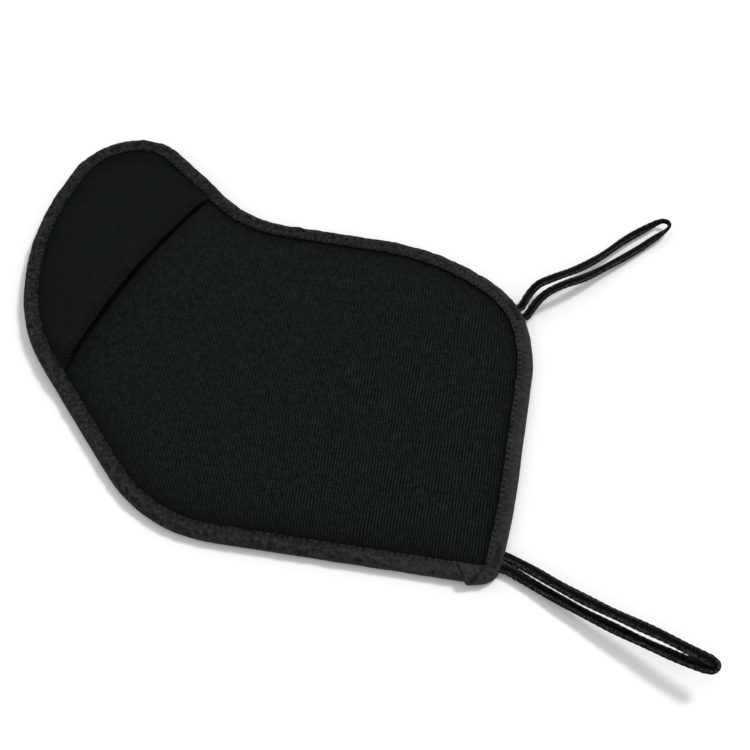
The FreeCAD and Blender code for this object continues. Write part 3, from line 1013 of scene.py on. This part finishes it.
def tape_surface(turn, depth, height, top):
    """Places the tape's section along the edge, with irregular width, puckers and stitch holes, and painted
    shade in the holes.

    top is 1 on its upper face.
    """
    lobe = over_lobe(turn)
    lean = smoothstep(0.6 * MM, 2.4 * MM, height)
    height = height + lobe * LOBE_RISE * lean
    inner = smoothstep(2.2 * MM, 4.2 * MM, depth)
    height = height + lean * (1 - inner) * unevenness(turn, TOP_WAVES)
    height = height + lean * inner * unevenness(turn, INNER_WAVES)
    outside = 1 - smoothstep(0.2 * MM, 1.4 * MM, depth)
    depth = depth - outside * unevenness(turn, OUTER_WAVES)
    round_corner = from_whole(turn - corner_turn) * edge.length
    depth = depth + outside * CORNER_TUCK * bell(round_corner, CORNER_REACH)
    depth = depth + smoothstep(3.4 * MM, 4.2 * MM, depth) * unevenness(turn, WIDTH_WAVES)
    stitch = turn * STITCHES
    # the stitch holes: how deep they are, and their painted shade
    recess_and_painted_shade = np.zeros_like(depth)
    for shift, row, strength in ((0.0, SEAM_NEAR, 0.3), (0.5, SEAM_FAR, 1.0)):
        off = from_whole(stitch - shift) * STITCH
        hole = bell(off, HOLE_LENGTH) * bell(depth - row, HOLE_WIDTH)
        recess_and_painted_shade = np.maximum(recess_and_painted_shade, strength * (1 + 0.35 * wander(turn, 90, 37)) * hole)
    recess_and_painted_shade = np.clip(recess_and_painted_shade, 0, 1)
    bump = -np.cos(2 * math.pi * (stitch - 0.5)) * bell(depth - GATHER[1], GATHER[2]) * GATHER[0]
    height = height + top * (bump - HOLE_DEPTH * recess_and_painted_shade)
    return depth, height, recess_and_painted_shade * np.abs(top)


def tape_mesh():
    """The binding: the tape's section carried round the edge."""
    section = np.array(TAPE_OUTSIDE + TAPE_INSIDE) * MM
    upper = np.zeros(len(section))
    upper[:12] = 1
    upper[18:23] = -0.35
    turns = np.arange(RINGS) / RINGS
    turn = np.repeat(turns[:, None], len(section), axis=1)
    depth = np.broadcast_to(section[:, 0], turn.shape)
    height = np.broadcast_to(section[:, 1], turn.shape)
    depth, height, recess_and_painted_shade = tape_surface(turn, depth, height, np.broadcast_to(upper, turn.shape))
    vertices = edge.place(turn, depth, height).reshape(-1, 3)
    girth = lengths_along(section) / MM
    faces = [tuple(reversed(face)) for face in ring_faces(RINGS, len(section), closed=True)]
    attributes = {
        "along": (turn * edge.length / MM).ravel(),
        "across": np.broadcast_to(girth, turn.shape).ravel(),
        "recess_and_painted_shade": recess_and_painted_shade.ravel() * 0.92,
    }
    return vertices, faces, attributes


def tape_top(turn, depth):
    """The tape's upper face at places along the edge and distances inwards."""
    profile = np.array(TAPE_OUTSIDE[2:13])[::-1] * MM
    height = np.interp(depth, profile[:, 0], profile[:, 1])
    depth, height, _ = tape_surface(turn, depth, height, np.zeros_like(depth))
    return edge.place(turn, depth, height)


# The tape's cut end, folded over the lower right corner: its slanting sides as places along the edge.
FOLD_LIFT = 0.36 * MM
FOLD_LEFT = ((0.0546, -0.0534), (0.0581, -0.0576))  # from the tape's inner side to its outer side
FOLD_RIGHT = ((0.0612, -0.0533), (0.0651, -0.0538))
FOLD_POINT = 1.0 * MM
FOLD_DOWN = 0.97  # how much of the tape's girth from top to underside the flap covers
FOLD_SWELL = 0.12 * MM
FOLD_CREASE = 0.24 * MM


def fold_mesh():
    """The folded end of the tape: a small flap over the corner, pointed where its side turns under."""
    columns, rows = 27, 17
    grid_across, grid_down = np.meshgrid(np.linspace(0, 1, columns), np.linspace(0, 1, rows), indexing="ij")
    left, right = ([edge.turn_near(*corner) for corner in side] for side in (FOLD_LEFT, FOLD_RIGHT))
    left = left[0] + (left[1] - left[0]) * grid_down
    right = right[0] + (right[1] - right[0]) * grid_down
    turn = left + (right - left) * grid_across
    outside = np.array(TAPE_OUTSIDE[2:16]) * MM
    girth = lengths_along(outside)
    place = grid_down * girth[-1] * FOLD_DOWN
    depth = np.interp(place, girth, outside[:, 0])
    height = np.interp(place, girth, outside[:, 1])
    depth, height, _ = tape_surface(turn, depth, height, np.zeros_like(depth))
    normal_depth = np.interp(place, girth, -np.gradient(outside[:, 1], girth))
    normal_height = np.interp(place, girth, np.gradient(outside[:, 0], girth))
    crease = bell(grid_across - 0.15 - 0.8 * (0.72 - grid_down), 0.07) * smoothstep(0.85, 0.6, grid_down)
    swell = FOLD_SWELL * np.cos(9 * grid_across + 4 * grid_down) - FOLD_CREASE * crease
    lift = (FOLD_LIFT + swell) * smoothstep(-0.04, 0.12, grid_down) * smoothstep(1.06, 0.8, grid_across)
    lift = np.maximum(lift * (1 - 0.6 * smoothstep(0.55, 0.8, grid_down)), 0.05 * MM)
    point = FOLD_POINT * bell(grid_across, 0.22)
    point = point * smoothstep(0.35, 0.7, grid_down) * smoothstep(1.1, 0.8, grid_down)
    layers = []
    for amount in (1.0, 0.0):
        out = lift * amount + 0.03 * MM
        new_depth = depth - out * np.abs(normal_depth) - point * (0.35 + 0.65 * amount)
        new_height = height - out * normal_height
        layers.append(edge.place(turn, new_depth, new_height).reshape(-1, 3))
    vertices = np.concatenate(layers)
    count = columns * rows
    faces = []
    for i in range(columns - 1):
        for j in range(rows - 1):
            a, b = i * rows + j, (i + 1) * rows + j
            faces.append((a, a + 1, b + 1, b))
            faces.append((count + a, count + b, count + b + 1, count + a + 1))
    rim = [i * rows for i in range(columns)] + [(columns - 1) * rows + j for j in range(1, rows)]
    rim += [i * rows + rows - 1 for i in reversed(range(columns - 1))] + list(reversed(range(1, rows - 1)))
    for a, b in zip(rim, rim[1:] + rim[:1]):
        faces.append((a, b, count + b, count + a))
    along = np.concatenate([place.ravel() / MM] * 2)
    attributes = {
        "along": along,
        "across": np.concatenate([(turn * edge.length).ravel() / MM] * 2),
        # painted shade in the flap's crease
        "recess_and_painted_shade": np.tile(0.85 * crease.ravel(), 2),
    }
    return vertices, faces, attributes


whole_tape = joined([tape_mesh(), fold_mesh()])
add_panel_piece("bound_edge", whole_tape, BINDING, "edge_binding")


UNDERSIDE_LEVEL = 0.24 * MM
SEAMS = (("needle_zigzag", "binding_needle_thread", 1), ("bobbin_zigzag", "binding_bobbin_thread", -1))


def zigzag(side):
    """The binding's seam thread: a zigzag between two rows of holes. side is 1 on top and -1 underneath."""
    share = np.array([0.0, 0.08, 0.3, 0.5, 0.7, 0.92, 1.0])
    rise = np.array([-0.30, -0.17, -0.10, -0.08, -0.15, -0.34, -0.50]) * MM
    number = np.arange(STITCHES)[:, None]
    paths = []
    for first, row_from, row_to in ((0.0, SEAM_NEAR, SEAM_FAR), (0.5, SEAM_FAR, SEAM_NEAR)):
        turn = (number + first + 0.5 * share) / STITCHES
        depth = np.broadcast_to(row_from + (row_to - row_from) * share, turn.shape)
        if side > 0:
            place = tape_top(turn, depth)
        else:
            place = edge.place(turn, depth, np.full(turn.shape, UNDERSIDE_LEVEL))
        place[..., 2] += side * rise * (1.0 if side > 0 else 0.4)
        paths.append(place)
    return threads(np.concatenate(paths), THREAD)


for name, node, side in SEAMS:
    add_panel_piece(name, zigzag(side), TAPE_THREAD, node)


TACK_LENGTH = 5.6 * MM
TACK_DEPTHS = (0.7 * MM, 2.0 * MM)
TACK_STRANDS = 20
TACK_THREAD = 0.14 * MM


def add_tack(side):
    """A bar tack across a loop's sewn-in ends: close strands in and out, over the tape's rounded edge."""
    middle, _, _ = outward(side)
    centre = edge.turn_near(middle.x, middle.y)
    half = TACK_LENGTH / edge.length / 2
    rng = np.random.default_rng(61)
    paths = []
    for turn in np.linspace(centre - half, centre + half, TACK_STRANDS):
        ends = np.array(TACK_DEPTHS) + rng.uniform(-0.15, 0.15, 2) * MM
        share = np.array([0.0, 0.1, 0.35, 0.65, 0.9, 1.0])
        depth = ends[0] + (ends[1] - ends[0]) * share
        slant = turn + (share - 0.5) * rng.uniform(-0.3, 0.3) * MM / edge.length
        place = tape_top(slant, depth)
        place[:, 2] += np.array([-0.15, 0.06, 0.13, 0.13, 0.06, -0.15]) * MM
        paths.append(place)
    made = threads(paths, TACK_THREAD)
    add_panel_piece(f"{side}_bar_tack", made, TAPE_THREAD, f"{side}_loop_tack")


add_tack("upper")
add_tack("lower")


# ---- floor and light


SOFTBOX_STRENGTH = 1.7
SOFTBOX_SPREAD = 12.0  # degrees across, as seen from the part
SOFTBOX_TURN = 44.0  # its direction, in degrees from +X towards +Y
SOFTBOX_RISE = 52.0
SKY = 0.76
FLOOR_COLOUR = (0.90, 0.90, 0.90, 1)
FLOOR_HALF = 3.0


def add_stage():
    """A plain pale floor and soft white light that falls from behind and above."""
    size = FLOOR_HALF
    mesh = bpy.data.meshes.new("floor")
    corners = [(-size, -size, 0), (size, -size, 0), (size, size, 0), (-size, size, 0)]
    mesh.from_pydata(corners, [], [(0, 1, 2, 3)])
    floor = add_object("floor", mesh)
    paint = bpy.data.materials.new("floor")
    paint.use_nodes = True
    surface = paint.node_tree.nodes["Principled BSDF"].inputs
    surface["Base Color"].default_value = FLOOR_COLOUR
    surface["Roughness"].default_value = 0.9
    surface["Specular IOR Level"].default_value = 0.1
    mesh.materials.append(paint)

    world = bpy.data.worlds.new("studio")
    world.use_nodes = True
    background = world.node_tree.nodes["Background"].inputs
    background[0].default_value = (1, 1, 1, 1)
    background[1].default_value = SKY
    scene.world = world

    lamp = bpy.data.lights.new("softbox", "SUN")
    lamp.energy = SOFTBOX_STRENGTH
    lamp.angle = math.radians(SOFTBOX_SPREAD)
    light = add_object("softbox", lamp)
    turn, rise = math.radians(SOFTBOX_TURN), math.radians(SOFTBOX_RISE)
    towards = Vector((math.cos(turn) * math.cos(rise), math.sin(turn) * math.cos(rise), math.sin(rise)))
    light.rotation_euler = towards.to_track_quat("Z", "Y").to_euler()


add_stage()
